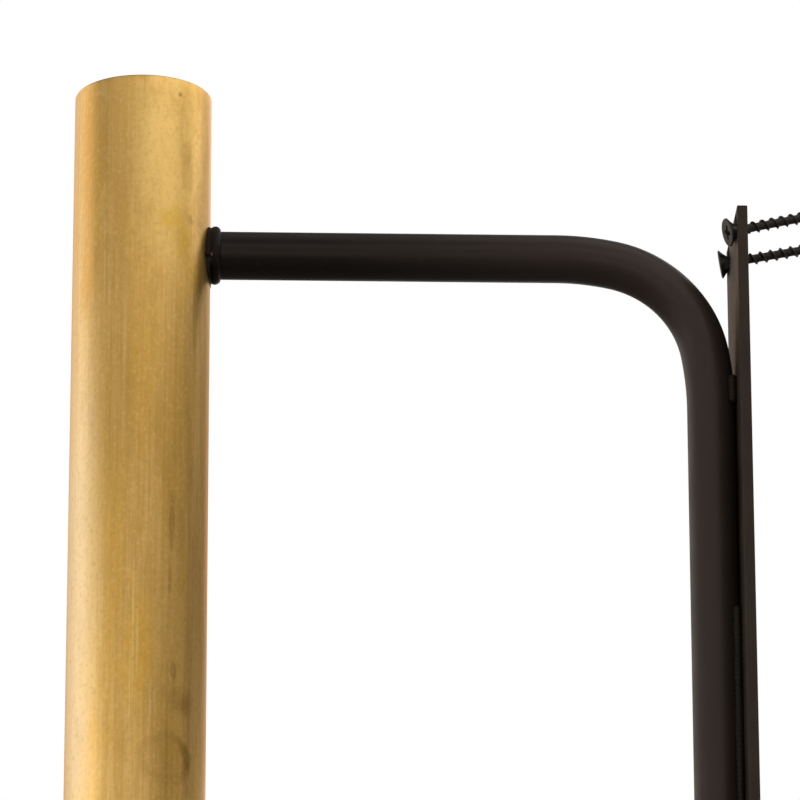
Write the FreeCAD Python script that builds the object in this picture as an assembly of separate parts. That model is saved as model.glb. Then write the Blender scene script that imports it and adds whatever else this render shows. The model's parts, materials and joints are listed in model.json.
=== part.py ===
import FreeCAD, Part

import math
import os

# Pull handle: an upright brass grip held off a wall by a bent steel tube welded to a flat strip.
# Millimetres. X = 0 is the wall, and the handle stands out from it towards -X. +Z is up, and the
# upper and lower halves mirror each other about Z = 0. Y = 0 is the middle plane of tube and grip.

# Driving dimensions: grip
GRIP_RADIUS = 20.0
GRIP_WALL = 1.5
GRIP_LENGTH = 500.0
GRIP_END_ROUND = 0.4
CAP_THICKNESS = 2.0
CAP_SKIRT_DEPTH = 8.0
CAP_SKIRT_WALL = 1.2

# Driving dimensions: bracket tube and strip
TUBE_RADIUS = 7.0
TUBE_WALL = 1.5
REACH = 165.0
ARM_BELOW_GRIP_END = 48.5
BEND_ARCS = ((80.0, 12.0), (34.0, 68.0), (100.0, 10.0))
STRIP_WIDTH = 38.0
STRIP_THICKNESS = 3.0
STRIP_ABOVE_ARM = 10.0
STRIP_EDGE_ROUND = 0.3

# Driving dimensions: weld beads, given as distances below the upper arm's axis
WELD_RADIUS = 2.0
WELD_OFFSET_Y = 4.8
WELD_STAND_OFF = 1.1
SHORT_WELD = (37.0, 46.0)
LONG_WELD_START = 107.0

# Driving dimensions: joint between arm and grip
COLLAR_RADIUS = 8.3
COLLAR_CREST_RADIUS = 8.55
FLANGE_END = 21.1
RING_CREST = 21.4
RING_END = 23.0
SPIGOT_RADIUS = 5.45
SPIGOT_LENGTH = 20.0
STUD_RADIUS = 4.0
STUD_REACH = 10.0
NUT_SIZE = (7.0, 15.0, 24.0)
PIN_RADIUS = 0.6
PIN_X = 20.3
PIN_DEPTH = 5.6
PIN_DOME = 0.35
PIN_DROOP = 18.0

# Driving dimensions: bugle-head screws and their oversize holes
HOLE_RADIUS = 3.0
COUNTERSINK_RADIUS = 4.4
HOLE_BELOW_STRIP_END = 5.0
HOLE_HALF_SPACING = 13.0
SCREW_LENGTH = 32.0
SCREW_HEAD_RADIUS = 4.15
SCREW_HEAD_RIM = 0.3
BUGLE_LENGTH = 4.2
BUGLE_STEPS = 6
NECK_RADIUS = 1.4
NECK_END = 5.4
CORE_RADIUS = 1.2
THREAD_RADIUS = 1.85
THREAD_PITCH = 3.0
THREAD_ROOT = 1.2
THREAD_CREST = 0.2
TIP_LENGTH = 5.0
RECESS_WIDTH = 1.0
RECESS_SPAN = 4.6
RECESS_DEPTH = 1.6

# Where a loose screw's axis crosses the hole's axis, just behind the strip
SCREW_PIVOT_X = 0.2

# Each loose screw: name, side in Y, side in Z, droop and sideways lean of its head in degrees, and
# how far its face stands in front of the pivot
SCREWS = (
    ("screw_upper_near", -1, 1, 16.0, 11.0, 6.2),
    ("screw_upper_far", 1, 1, 9.0, -6.0, 5.8),
    ("screw_lower_near", -1, -1, 12.0, 7.0, 5.9),
    ("screw_lower_far", 1, -1, 14.0, -4.0, 5.9),
)

# Places worked out from the driving dimensions
TUBE_X = -(STRIP_THICKNESS + TUBE_RADIUS)
GRIP_X = TUBE_X - REACH
ARM_Z = GRIP_LENGTH / 2 - ARM_BELOW_GRIP_END
STRIP_HALF = ARM_Z + STRIP_ABOVE_ARM
HOLE_Z = STRIP_HALF - HOLE_BELOW_STRIP_END
COUNTERSINK_DEPTH = COUNTERSINK_RADIUS - HOLE_RADIUS
BORE_RADIUS = GRIP_RADIUS - GRIP_WALL

X_AXIS = FreeCAD.Vector(1, 0, 0)
Y_AXIS = FreeCAD.Vector(0, 1, 0)
Z_AXIS = FreeCAD.Vector(0, 0, 1)
HALVES = (("upper", 1), ("lower", -1))
SIDES = (("near", -1), ("far", 1))


def vector(x, y, z):
    return FreeCAD.Vector(x, y, z)


def cylinder(radius, start, axis, length):
    return Part.makeCylinder(radius, length, start, axis)


def box(low, high):
    return Part.makeBox(high.x - low.x, high.y - low.y, high.z - low.z, low)


def lathe(points, origin, axis):
    """Solid turned about axis from (distance along it, radius) points."""
    side = Y_AXIS
    outline = [origin + axis * along + side * radius for along, radius in points]
    wire = Part.makePolygon(outline + outline[:1])
    return Part.Face(wire).revolve(origin, axis, 360)


def grip_cylinder(radius):
    return cylinder(radius, vector(GRIP_X, 0, -GRIP_LENGTH), Z_AXIS, 2 * GRIP_LENGTH)


def pin_frame(side):
    """Point on the arm's axis below the pin, and the pin's outward direction."""
    angle = math.radians(PIN_DROOP)
    outward = vector(0, -math.cos(angle), -math.sin(angle))
    return vector(GRIP_X + PIN_X, 0, side * ARM_Z), outward


def pin_body(side):
    """The pin's hole, from the collar's surface to the bore of the arm."""
    foot, outward = pin_frame(side)
    start = foot + outward * PIN_DEPTH
    return cylinder(PIN_RADIUS, start, outward, COLLAR_RADIUS - PIN_DEPTH)


def grip_tube():
    outer = cylinder(GRIP_RADIUS, vector(GRIP_X, 0, -GRIP_LENGTH / 2), Z_AXIS, GRIP_LENGTH)
    bore = cylinder(BORE_RADIUS, vector(GRIP_X, 0, -GRIP_LENGTH / 2), Z_AXIS, GRIP_LENGTH)
    rims = [e for e in outer.Edges if isinstance(e.Curve, Part.Circle)]
    shape = outer.makeFillet(GRIP_END_ROUND, rims).cut(bore)
    for _, side in HALVES:
        start = vector(GRIP_X, 0, side * ARM_Z)
        shape = shape.cut(cylinder(STUD_RADIUS, start, X_AXIS, GRIP_RADIUS + 1))
    return shape


def grip_cap(side):
    """Cup-shaped disc pressed into the end of the grip, flush with its rim."""
    end = vector(GRIP_X, 0, side * GRIP_LENGTH / 2)
    inward = Z_AXIS * -side
    skirt = BORE_RADIUS - CAP_SKIRT_WALL
    cup = cylinder(BORE_RADIUS, end, inward, CAP_SKIRT_DEPTH)
    hollow = cylinder(skirt, end + inward * CAP_THICKNESS, inward, CAP_SKIRT_DEPTH)
    return cup.cut(hollow)


def saddle_nut(side):
    """Threaded block inside the grip, curved to sit on its bore."""
    depth, width, height = NUT_SIZE
    far = GRIP_X + BORE_RADIUS
    block = box(
        vector(far - depth, -width / 2, side * ARM_Z - height / 2),
        vector(far, width / 2, side * ARM_Z + height / 2),
    )
    hole = cylinder(STUD_RADIUS, vector(GRIP_X, 0, side * ARM_Z), X_AXIS, 2 * GRIP_RADIUS)
    return block.common(grip_cylinder(BORE_RADIUS)).cut(hole)


def arm_spigot(side):
    """Turned bar: a stud into the saddle nut, and a shoulder that the arm slides over."""
    start = vector(GRIP_X + STUD_REACH, 0, side * ARM_Z)
    stud = cylinder(STUD_RADIUS, start, X_AXIS, GRIP_RADIUS)
    centre = vector(GRIP_X, 0, side * ARM_Z)
    shoulder = cylinder(SPIGOT_RADIUS, centre, X_AXIS, GRIP_RADIUS + SPIGOT_LENGTH)
    return stud.fuse(shoulder.cut(grip_cylinder(GRIP_RADIUS))).removeSplitter()


def collar_flange(side):
    """Washer round the arm, its back cut to the grip's curve."""
    centre = vector(GRIP_X, 0, side * ARM_Z)
    body = cylinder(COLLAR_RADIUS, centre, X_AXIS, FLANGE_END)
    bore = cylinder(TUBE_RADIUS, centre, X_AXIS, FLANGE_END)
    return body.cut(bore).cut(grip_cylinder(GRIP_RADIUS)).cut(pin_body(side))


def collar_ring(side):
    """Rounded ferrule in front of the flange."""
    neck = (COLLAR_RADIUS + TUBE_RADIUS) / 2
    centre = vector(GRIP_X, 0, side * ARM_Z)
    start = centre + vector(FLANGE_END, 0, TUBE_RADIUS)
    shoulder = centre + vector(FLANGE_END, 0, neck)
    crest = centre + vector(RING_CREST, 0, COLLAR_CREST_RADIUS)
    middle = centre + vector(RING_CREST + 0.8, 0, COLLAR_CREST_RADIUS - 0.35)
    end = centre + vector(RING_END, 0, TUBE_RADIUS)
    edges = [
        Part.LineSegment(start, shoulder).toShape(),
        Part.LineSegment(shoulder, crest).toShape(),
        Part.Arc(crest, middle, end).toShape(),
        Part.LineSegment(end, start).toShape(),
    ]
    return Part.Face(Part.Wire(edges)).revolve(centre, X_AXIS, 360)


def collar_pin(side):
    """Small domed pin that locks the flange to the arm."""
    foot, outward = pin_frame(side)
    height = COLLAR_RADIUS + PIN_DOME
    ball_radius = (PIN_RADIUS**2 + PIN_DOME**2) / (2 * PIN_DOME)
    shaft = cylinder(PIN_RADIUS, foot + outward * PIN_DEPTH, outward, height - PIN_DEPTH)
    ball = Part.makeSphere(ball_radius, foot + outward * (height - ball_radius))
    return shaft.common(ball.fuse(pin_body(side))).removeSplitter()


def bend_points():
    """Ends and middles of the upper bend's arcs, from the arm to the upright run."""
    x, z, heading = 0.0, 0.0, 0.0
    points = [(x, z)]
    for radius, turn in BEND_ARCS:
        for _ in range(2):
            next_heading = heading + math.radians(turn / 2)
            x += radius * (math.sin(next_heading) - math.sin(heading))
            z -= radius * (math.cos(heading) - math.cos(next_heading))
            heading = next_heading
            points.append((x, z))
    return [vector(px - x + TUBE_X, 0, pz + ARM_Z) for px, pz in points]


def tube_path():
    upper = bend_points()
    lower = [vector(p.x, 0, -p.z) for p in reversed(upper)]
    start = vector(GRIP_X, 0, ARM_Z)
    end = vector(GRIP_X, 0, -ARM_Z)
    edges = [Part.LineSegment(start, upper[0]).toShape()]
    for points in (upper, lower):
        for i in range(0, len(points) - 2, 2):
            edges.append(Part.Arc(points[i], points[i + 1], points[i + 2]).toShape())
        if points is upper:
            edges.append(Part.LineSegment(upper[-1], lower[0]).toShape())
    edges.append(Part.LineSegment(lower[-1], end).toShape())
    return Part.Wire(edges)


def sweep_round(path, radius):
    start = vector(GRIP_X, 0, ARM_Z)
    profile = Part.Wire(Part.makeCircle(radius, start, X_AXIS))
    return path.makePipeShell([profile], True, False)


def bracket_tube():
    """One length of tube: upper arm, bend, upright run, bend, lower arm, ends cut to the grip."""
    path = tube_path()
    shape = sweep_round(path, TUBE_RADIUS).cut(sweep_round(path, TUBE_RADIUS - TUBE_WALL))
    shape = shape.cut(grip_cylinder(GRIP_RADIUS))
    for _, side in HALVES:
        shape = shape.cut(pin_body(side))
    return shape


def mounting_strip():
    """Flat bar against the wall with a pair of countersunk holes at each end."""
    half_width = STRIP_WIDTH / 2
    bar = box(vector(-STRIP_THICKNESS, -half_width, -STRIP_HALF), vector(0, half_width, STRIP_HALF))
    shape = bar.makeFillet(STRIP_EDGE_ROUND, bar.Edges)
    countersink = (
        (0, 0),
        (0, COUNTERSINK_RADIUS),
        (COUNTERSINK_DEPTH, HOLE_RADIUS),
        (STRIP_THICKNESS, HOLE_RADIUS),
        (STRIP_THICKNESS, 0),
    )
    for _, up in HALVES:
        for _, across in SIDES:
            mouth = vector(-STRIP_THICKNESS, across * HOLE_HALF_SPACING, up * HOLE_Z)
            shape = shape.cut(lathe(countersink, mouth, X_AXIS))
    return shape


def weld_bead(across, top, bottom):
    """Round-ended bead in the corner between tube and strip."""
    x = -(STRIP_THICKNESS + WELD_STAND_OFF)
    y = across * WELD_OFFSET_Y
    straight = top - bottom - 2 * WELD_RADIUS
    bead = cylinder(WELD_RADIUS, vector(x, y, bottom + WELD_RADIUS), Z_AXIS, straight)
    for z in (top - WELD_RADIUS, bottom + WELD_RADIUS):
        bead = bead.fuse(Part.makeSphere(WELD_RADIUS, vector(x, y, z)))
    low = vector(-2 * TUBE_RADIUS, -STRIP_WIDTH, -STRIP_HALF)
    in_front = box(low, vector(-STRIP_THICKNESS, STRIP_WIDTH, STRIP_HALF))
    tube = sweep_round(tube_path(), TUBE_RADIUS)
    return bead.removeSplitter().common(in_front).cut(tube)


def screw_profile():
    """(distance behind the face, radius) of a bugle-head screw, its thread as a row of ridges."""
    points = [(0, 0), (0, SCREW_HEAD_RADIUS)]
    for step in range(BUGLE_STEPS + 1):
        share = step / BUGLE_STEPS
        flare = (SCREW_HEAD_RADIUS - NECK_RADIUS) * (1 - share) ** 2
        points.append((SCREW_HEAD_RIM + BUGLE_LENGTH * share, NECK_RADIUS + flare))
    points.append((NECK_END, NECK_RADIUS))
    tip_start = SCREW_LENGTH - TIP_LENGTH
    slope = (THREAD_ROOT - THREAD_CREST) / 2
    ridge = NECK_END
    while ridge + THREAD_PITCH < tip_start:
        points.append((ridge + slope, CORE_RADIUS))
        points.append((ridge + THREAD_PITCH - THREAD_ROOT, CORE_RADIUS))
        points.append((ridge + THREAD_PITCH - slope - THREAD_CREST, THREAD_RADIUS))
        points.append((ridge + THREAD_PITCH - slope, THREAD_RADIUS))
        ridge += THREAD_PITCH
    points += [(ridge + slope, CORE_RADIUS), (tip_start, CORE_RADIUS), (SCREW_LENGTH, 0)]
    return points


def recess():
    """Cross slot cut into the head's face, in the screw's own frame with the face at zero."""
    half = RECESS_SPAN / 2
    thin = RECESS_WIDTH / 2
    one = box(vector(-1, -half, -thin), vector(RECESS_DEPTH, half, thin))
    two = box(vector(-1, -thin, -half), vector(RECESS_DEPTH, thin, half))
    return one.fuse(two)


def wood_screw(across, up, droop, lean, stand_out):
    """Loose screw, tilted in its oversize hole."""
    shape = lathe(screw_profile(), vector(0, 0, 0), X_AXIS).cut(recess())
    shape.translate(vector(-stand_out, 0, 0))
    shape.rotate(vector(0, 0, 0), Y_AXIS, -droop)
    shape.rotate(vector(0, 0, 0), Z_AXIS, lean)
    shape.translate(vector(SCREW_PIVOT_X, across * HOLE_HALF_SPACING, up * HOLE_Z))
    return shape


def build():
    nodes = {
        "grip_tube": grip_tube(),
        "grip_cap_top": grip_cap(1),
        "grip_cap_bottom": grip_cap(-1),
        "bracket_tube": bracket_tube(),
        "mounting_strip": mounting_strip(),
    }
    makers = {
        "saddle_nut": saddle_nut,
        "arm_spigot": arm_spigot,
        "collar_flange": collar_flange,
        "collar_ring": collar_ring,
        "collar_pin": collar_pin,
    }
    for half, side in HALVES:
        for name, maker in makers.items():
            nodes[f"{name}_{half}"] = maker(side)
    for place, across in SIDES:
        top, bottom = (ARM_Z - distance for distance in SHORT_WELD)
        middle = ARM_Z - LONG_WELD_START
        nodes[f"weld_upper_{place}"] = weld_bead(across, top, bottom)
        nodes[f"weld_middle_{place}"] = weld_bead(across, middle, -middle)
        nodes[f"weld_lower_{place}"] = weld_bead(across, -bottom, -top)
    for name, across, up, droop, lean, stand_out in SCREWS:
        nodes[name] = wood_screw(across, up, droop, lean, stand_out)
    return nodes


def main():
    os.makedirs("parts", exist_ok=True)
    for name, shape in build().items():
        if not shape.isValid() or len(shape.Solids) != 1:
            print("CHECK", name, shape.isValid(), len(shape.Solids))
        shape.exportStep(f"parts/{name}.step")
        low = shape.BoundBox
        print(f"{name:20s} {shape.Volume:10.1f} mm3  x {low.XMin:8.2f} {low.XMax:8.2f}"
              f"  y {low.YMin:7.2f} {low.YMax:7.2f}  z {low.ZMin:8.2f} {low.ZMax:8.2f}")


main()
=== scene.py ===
import json
import math

import bmesh
import bpy
from mathutils import Matrix, Vector, noise


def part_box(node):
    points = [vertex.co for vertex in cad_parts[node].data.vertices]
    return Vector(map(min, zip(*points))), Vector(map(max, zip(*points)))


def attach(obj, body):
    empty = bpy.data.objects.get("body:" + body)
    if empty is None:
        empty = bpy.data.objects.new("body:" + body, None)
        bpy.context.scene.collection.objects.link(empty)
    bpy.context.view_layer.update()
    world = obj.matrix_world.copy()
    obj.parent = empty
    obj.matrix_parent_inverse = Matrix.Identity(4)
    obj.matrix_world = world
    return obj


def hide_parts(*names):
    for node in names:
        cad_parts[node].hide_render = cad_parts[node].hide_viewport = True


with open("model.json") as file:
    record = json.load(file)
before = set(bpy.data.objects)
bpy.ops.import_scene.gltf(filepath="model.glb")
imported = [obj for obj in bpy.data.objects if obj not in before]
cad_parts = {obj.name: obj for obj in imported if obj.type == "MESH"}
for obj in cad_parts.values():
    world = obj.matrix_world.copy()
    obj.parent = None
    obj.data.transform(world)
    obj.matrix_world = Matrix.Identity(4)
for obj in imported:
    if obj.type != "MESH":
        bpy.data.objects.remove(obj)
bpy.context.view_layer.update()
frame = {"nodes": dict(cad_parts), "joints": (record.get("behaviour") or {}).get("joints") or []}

# Pull handle: a brass grip on a bent, blackened steel tube that is welded to a flat strip.
# Metres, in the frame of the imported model: the wall is X = 0, the handle stands out towards -X, +Z is
# up, and the upper and lower halves mirror each other about Z = 0.

MM = 0.001
X_AXIS = Vector((1, 0, 0))
Y_AXIS = Vector((0, 1, 0))
Z_AXIS = Vector((0, 0, 1))
# Points closer than this are merged
TINY = 1e-7

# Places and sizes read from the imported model
grip_low, grip_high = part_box("grip_tube")
strip_low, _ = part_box("mounting_strip")
ring_low, ring_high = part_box("collar_ring_upper")
_, flange_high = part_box("collar_flange_upper")

GRIP_X = (grip_low.x + grip_high.x) / 2
GRIP_RADIUS = (grip_high.x - grip_low.x) / 2
GRIP_HALF = grip_high.z
ARM_Z = (ring_low.z + ring_high.z) / 2
STRIP_FRONT_X = strip_low.x

# Grip and caps
GRIP_WALL = 1.5 * MM
GRIP_SEGMENTS = 256
GRIP_ROW = 4 * MM
RIM_ROUND = 0.4 * MM
CAP_THICKNESS = 2 * MM
CAP_DEPTH = 8 * MM
CAP_SKIRT = 1.2 * MM
CAP_ROUND = 0.25 * MM
SPIGOT_HOLE_RADIUS = 4 * MM
SPIGOT_HOLE_END = 1.2 * GRIP_RADIUS
SPIGOT_HOLE_SEGMENTS = 48

# Bracket tube. The bend blends arcs of (radius, degrees), and is flattened most in its middle
TUBE_RADIUS = 7 * MM
TUBE_WALL = 1.5 * MM
TUBE_X = STRIP_FRONT_X - TUBE_RADIUS
BEND_ARCS = ((80 * MM, 12.0), (34 * MM, 68.0), (100 * MM, 10.0))
BEND_TOTAL = math.radians(sum(turn for _, turn in BEND_ARCS))
TUBE_SEGMENTS = 96
STRAIGHT_STEP = 5 * MM
BEND_STEP = 1.5 * MM
BEND_FLATTENING = 0.012

# Collar
COLLAR_SEGMENTS = 160
COLLAR_UNEVEN = 0.07 * MM
COLLAR_UNEVEN_CELL = 2 * MM
CREST_STEP = 0.2 * MM
CREST_EASE = 0.03 * MM
FERRULE_STEPS = 12
GROOVE_X = 20.0 * MM
GROOVE_DEPTH = 0.16 * MM
GROOVE_FROM_GRIP = 0.3 * MM
LIP_HALF_WIDTH = 7.3 * MM
# (height, squareness) of the lip's outline, away from and towards the handle's middle
LIP_OUTSIDE = (7.65 * MM, 3.4)
LIP_INSIDE = (9.4 * MM, 3.6)
# (share of the way from the grip to the groove, rise) across the lip
LIP_PROFILE = ((0.0, -0.25 * MM), (0.12, -0.04 * MM), (0.3, 0.0), (0.65, -0.05 * MM), (0.85, -0.15 * MM))
# (share of the way from the groove to the ferrule, share of the rise) across the swell
SWELL = ((0.2, 0.12), (0.45, 0.45), (0.7, 0.82), (1.0, 1.0))
BURR_SIZE = 0.9 * MM
BURR_ANGLE = math.radians(-106)
BURR_SPREAD = 0.09

# Collar pin
PIN_RADIUS = 0.6 * MM
PIN_SHANK = 2.2 * MM
PIN_DOME = 0.25 * MM
PIN_DROOP = math.radians(18)
PIN_SUNK = 0.35 * MM
PIN_SHIFT = 0.3 * MM
PIN_SEGMENTS = 32
DOME_STEPS = 6

# Weld beads
WELD_RADIUS = 1.6 * MM
WELD_OFFSET_Y = 4.8 * MM
WELD_X = STRIP_FRONT_X - 1.1 * MM
WELD_CROWN = math.radians(225)
WELD_WANDER = 0.25 * MM
WELD_WANDER_LENGTH = 6 * MM
WELD_SEGMENTS = 24
WELD_STEP = 0.2 * MM
RIPPLE_PITCH = 1.5 * MM
RIPPLE_HEIGHT = 0.2 * MM
RIPPLE_LAG = 0.5

# Bugle-head screws
SCREW_LENGTH = 32 * MM
SCREW_SEGMENTS = 72
HEAD_RADIUS = 4.15 * MM
HEAD_RIM = 0.42 * MM
HEAD_DISH = 0.12 * MM
HEAD_FLAT = 2.2 * MM
# (along, inward) points round the head's edge
HEAD_EDGE = ((0.0, 0.35 * MM), (0.03 * MM, 0.15 * MM), (0.16 * MM, 0.03 * MM), (0.3 * MM, 0.0))
BUGLE_LENGTH = 4.2 * MM
BUGLE_STEPS = 14
NECK_RADIUS = 1.4 * MM
NECK_END = 5.4 * MM
CORE_RADIUS = 1.2 * MM
THREAD_RADIUS = 1.85 * MM
THREAD_PITCH = 3 * MM
THREAD_ROOT = 1.3 * MM
TIP_LENGTH = 6 * MM
# How fast the thread rises behind the neck, and how fast thread and core run out at the tip
THREAD_RISE = 0.5
THREAD_RUN_OUT = 0.6
CORE_RUN_OUT = 0.8
RECESS_HALF_SPAN = 2.3 * MM
RECESS_HALF_WIDTH = 0.62 * MM
# (depth, share of the half span, share of the half width) at both ends of the recess's taper
RECESS_ENDS = ((-0.5 * MM, 1.1, 1.15), (1.9 * MM, 0.4, 0.6))

# Camera: long lens, below the arm and looking up at it. The lens and its sensor are in millimetres
CAMERA_FROM_GRIP_X = 17.8 * MM
CAMERA_Y = -1.7089
CAMERA_BELOW_ARM = 664.5 * MM
CAMERA_PITCH = 19.944
CAMERA_YAW = 1.918
CAMERA_ROLL = -0.108
CAMERA_LENS = 283.74
CAMERA_SENSOR = 36.0
CAMERA_CLIP = (0.1, 50.0)


# ---------------------------------------------------------------- mesh helpers

def join_rings(bm, rings):
    """Quads between each ring of vertices and the next."""
    for lower, upper in zip(rings, rings[1:]):
        for i, corner in enumerate(lower):
            following = (i + 1) % len(lower)
            bm.faces.new((corner, lower[following], upper[following], upper[i]))


def skin(rings, closed=False):
    """Mesh of quads that joins each ring of points to the next, and the last to the first if closed."""
    bm = bmesh.new()
    rows = [[bm.verts.new(point) for point in ring] for ring in rings]
    if closed:
        rows.append(rows[0])
    join_rings(bm, rows)
    return bm


def finished(name, bm, sharp_angle=40.0):
    """Object made of the cleaned-up mesh, smooth apart from edges sharper than the angle in degrees."""
    bmesh.ops.remove_doubles(bm, verts=bm.verts, dist=TINY)
    bmesh.ops.dissolve_degenerate(bm, dist=TINY, edges=bm.edges)
    bmesh.ops.recalc_face_normals(bm, faces=bm.faces)
    mesh = bpy.data.meshes.new(name)
    bm.to_mesh(mesh)
    bm.free()
    mesh.shade_smooth()
    mesh.set_sharp_from_angle(angle=math.radians(sharp_angle))
    piece = bpy.data.objects.new(name, mesh)
    bpy.context.scene.collection.objects.link(piece)
    return piece


def stand_in(piece, material, slot, body, *nodes):
    """Gives the piece its material, and puts it on a body in place of CAD nodes."""
    piece.data.materials.clear()
    piece.data.materials.append(material)
    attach(piece, body)
    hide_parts(*nodes)
    return piece


def cut(piece, cutter, sharp_angle=40.0):
    """Takes the cutter's volume out of the piece and removes the cutter."""
    boolean = piece.modifiers.new("cut", "BOOLEAN")
    boolean.operation = "DIFFERENCE"
    boolean.solver = "EXACT"
    boolean.object = cutter
    evaluated = piece.evaluated_get(bpy.context.evaluated_depsgraph_get())
    mesh = bpy.data.meshes.new_from_object(evaluated)
    piece.modifiers.clear()
    piece.data = mesh
    mesh.name = piece.name
    mesh.shade_smooth()
    mesh.set_sharp_from_angle(angle=math.radians(sharp_angle))
    bpy.data.objects.remove(cutter)
    return piece


def rounded(corners, steps=5):
    """Outline through (along, radius, rounding) corners, each rounding drawn as an arc."""
    points = []
    for i, (along, radius, rounding) in enumerate(corners):
        here = Vector((along, radius))
        if not rounding:
            points.append(here)
            continue
        before = (Vector(corners[i - 1][:2]) - here).normalized()
        after = (Vector(corners[(i + 1) % len(corners)][:2]) - here).normalized()
        half = before.angle(after) / 2
        centre = here + (before + after).normalized() * rounding / math.sin(half)
        start = here + before * rounding / math.tan(half) - centre
        end = here + after * rounding / math.tan(half) - centre
        for step in range(steps + 1):
            share = step / steps
            points.append(centre + (start.lerp(end, share)).normalized() * rounding)
    return points


def divided(points, longest):
    """The closed outline with extra points, so that no run is longer than given."""
    result = []
    for i, point in enumerate(points):
        following = points[(i + 1) % len(points)]
        parts = max(1, math.ceil((following - point).length / longest))
        result += [point.lerp(following, part / parts) for part in range(parts)]
    return result


def turned(outline, origin, axis, side, segments):
    """Rings of points for (along, radius) points turned about an axis."""
    across = axis.cross(side)
    rings = []
    for along, radius in outline:
        ring = []
        for segment in range(segments):
            angle = 2 * math.pi * segment / segments
            outward = side * math.cos(angle) + across * math.sin(angle)
            ring.append(origin + axis * along + outward * radius)
        rings.append(ring)
    return rings


# ---------------------------------------------------------------- grip

def grip_surface_x(y):
    """X of the grip's surface on its wall side, at a distance y from the middle plane."""
    return GRIP_X + math.sqrt(GRIP_RADIUS**2 - y**2)


def make_grip(material):
    """Brass tube with softened rims and a cross hole for each arm's spigot."""
    bore = GRIP_RADIUS - GRIP_WALL
    outline = rounded((
        (-GRIP_HALF, GRIP_RADIUS, RIM_ROUND),
        (GRIP_HALF, GRIP_RADIUS, RIM_ROUND),
        (GRIP_HALF, bore, RIM_ROUND / 4),
        (-GRIP_HALF, bore, RIM_ROUND / 4),
    ))
    axis_foot = Vector((GRIP_X, 0, 0))
    rings = turned(divided(outline, GRIP_ROW), axis_foot, Z_AXIS, Y_AXIS, GRIP_SEGMENTS)
    grip = finished("grip", skin(rings, closed=True))
    end, radius = SPIGOT_HOLE_END, SPIGOT_HOLE_RADIUS
    hole = ((0, 0), (0, radius), (end, radius), (end, 0))
    for side in (1, -1):
        start = Vector((GRIP_X, 0, side * ARM_Z))
        drill = finished("hole", skin(turned(hole, start, X_AXIS, Y_AXIS, SPIGOT_HOLE_SEGMENTS)))
        cut(grip, drill)
    return stand_in(grip, material, "aged_brass", "handle", "grip_tube")


def make_cap(place, side, material):
    """Turned brass cup pressed into the grip's end, with rounded edges."""
    bore = GRIP_RADIUS - GRIP_WALL
    inner = bore - CAP_SKIRT
    outline = rounded((
        (0, 0, 0),
        (0, bore, CAP_ROUND),
        (-CAP_DEPTH, bore, CAP_ROUND),
        (-CAP_DEPTH, inner, CAP_ROUND),
        (-CAP_THICKNESS, inner, CAP_ROUND * 2),
        (-CAP_THICKNESS, 0, 0),
    ))
    end = Vector((GRIP_X, 0, side * GRIP_HALF))
    points = divided(outline, GRIP_ROW)
    points = points[:points.index(outline[-1]) + 1]
    rings = turned(points, end, Z_AXIS * side, Y_AXIS, GRIP_SEGMENTS)
    cap = finished(f"cap_{place}", skin(rings))
    return stand_in(cap, material, "aged_brass", "handle", f"grip_cap_{place}")


# ---------------------------------------------------------------- bracket tube

def bend_stations():
    """(x, z, heading, flattening) along the bend, from its start; heading in radians below level."""
    stations = []
    x, z, heading = 0.0, 0.0, 0.0
    for radius, turn in BEND_ARCS:
        steps = math.ceil(radius * math.radians(turn) / BEND_STEP)
        for _ in range(steps):
            following = heading + math.radians(turn) / steps
            x += radius * (math.sin(following) - math.sin(heading))
            z -= radius * (math.cos(heading) - math.cos(following))
            heading = following
            flattening = BEND_FLATTENING * math.sin(math.pi * heading / BEND_TOTAL) ** 2
            stations.append((x, z, heading, flattening))
    return stations


def tube_stations():
    """(x, z, heading, flattening) along the upper half of the tube: arm, bend and upright."""
    bend = bend_stations()
    start_x = TUBE_X - bend[-1][0]
    bend = [(x + start_x, z + ARM_Z, heading, flattening) for x, z, heading, flattening in bend]
    arm_length = start_x - GRIP_X
    arm_steps = math.ceil(arm_length / STRAIGHT_STEP)
    arm = [(GRIP_X + arm_length * i / arm_steps, ARM_Z, 0.0, 0.0) for i in range(1, arm_steps + 1)]
    arm = [station for station in arm if station[0] > GRIP_X + GRIP_RADIUS]
    upright_top = bend[-1][1]
    upright_steps = math.ceil(upright_top / STRAIGHT_STEP)
    upright = [(TUBE_X, upright_top * (1 - i / upright_steps), BEND_TOTAL, 0.0)
               for i in range(1, upright_steps + 1)]
    return arm + bend + upright


def tube_ring(station, radius, side):
    """Ring of the tube at a station, flattened a little where it bends."""
    x, z, heading, flattening = station
    outward = Vector((math.sin(heading), 0, math.cos(heading)))
    in_plane = radius * (1 - flattening)
    across = radius * (1 + flattening)
    ring = []
    for segment in range(TUBE_SEGMENTS):
        angle = 2 * math.pi * segment / TUBE_SEGMENTS
        point = Vector((x, 0, z)) + outward * in_plane * math.cos(angle)
        point += Y_AXIS * across * math.sin(angle)
        point.z *= side
        ring.append(point)
    return ring


def saddle_ring(radius, side):
    """The arm's end, cut to the grip's curve."""
    ring = tube_ring((GRIP_X, ARM_Z, 0.0, 0.0), radius, side)
    return [Vector((grip_surface_x(point.y), point.y, point.z)) for point in ring]


def tube_skin(radius):
    """Rings along the whole tube, from the upper saddle to the lower one."""
    stations = tube_stations()
    upper = [tube_ring(station, radius, 1) for station in stations]
    lower = [tube_ring(station, radius, -1) for station in reversed(stations[:-1])]
    return [saddle_ring(radius, 1)] + upper + lower + [saddle_ring(radius, -1)]


def make_bracket(material):
    """One length of round tube, bent twice, with its ends cut to the grip."""
    outside = tube_skin(TUBE_RADIUS)
    inside = tube_skin(TUBE_RADIUS - TUBE_WALL)
    bracket = finished("bracket", skin(outside + inside[::-1], closed=True))
    return stand_in(bracket, material, "black_tube", "handle", "bracket_tube")


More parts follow.
